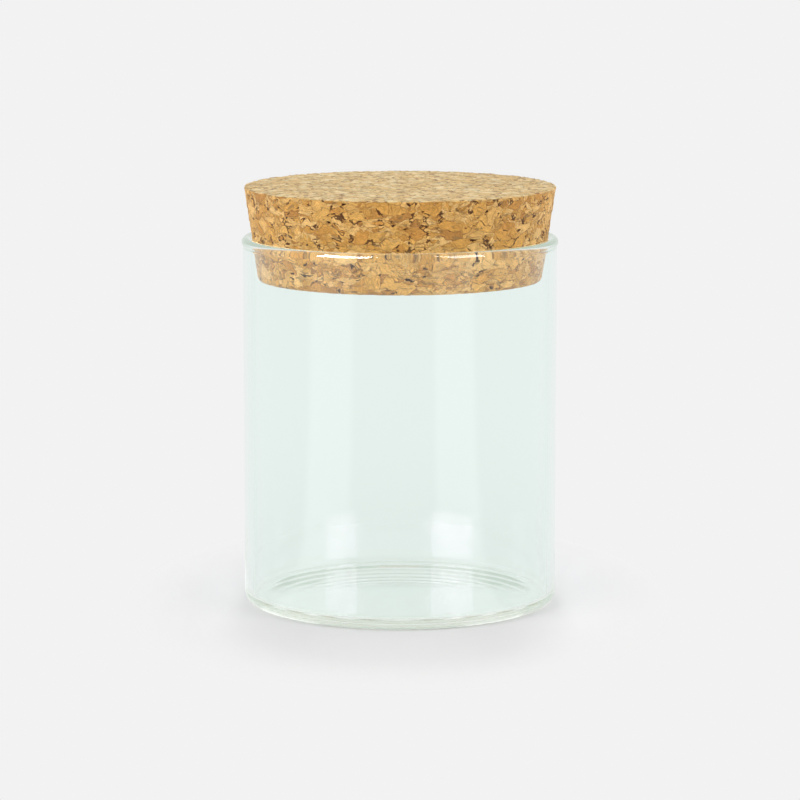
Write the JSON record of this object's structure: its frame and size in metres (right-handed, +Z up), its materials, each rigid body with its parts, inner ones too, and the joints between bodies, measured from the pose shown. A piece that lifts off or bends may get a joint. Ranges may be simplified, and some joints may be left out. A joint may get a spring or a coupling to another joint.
{
  "type": "glass jar with cork lid",
  "caption": "Round clear glass storage jar with straight walls and a rounded lip, closed by a tapered cork stopper that lifts out.",
  "frame": {"origin": "middle of the foot, on the surface that the jar stands on", "axes": "+Z up along the axis of the jar and the stopper; X and Y are free, because the part is round"},
  "size_m": [0.0654, 0.0654, 0.0869],
  "materials": {
    "glass": "polished, very pale green",
    "cork": "matt pressed cork granules"
  },
  "bodies": {
    "jar": {"glass_jar": "glass"},
    "stopper": {"cork_stopper": "cork"}
  },
  "joints": [
    {"name": "stopper_lift", "type": "slide", "parent": "jar", "child": "stopper", "axis": [0, 0, 1], "range_m": [0, 0.06]}
  ]
}
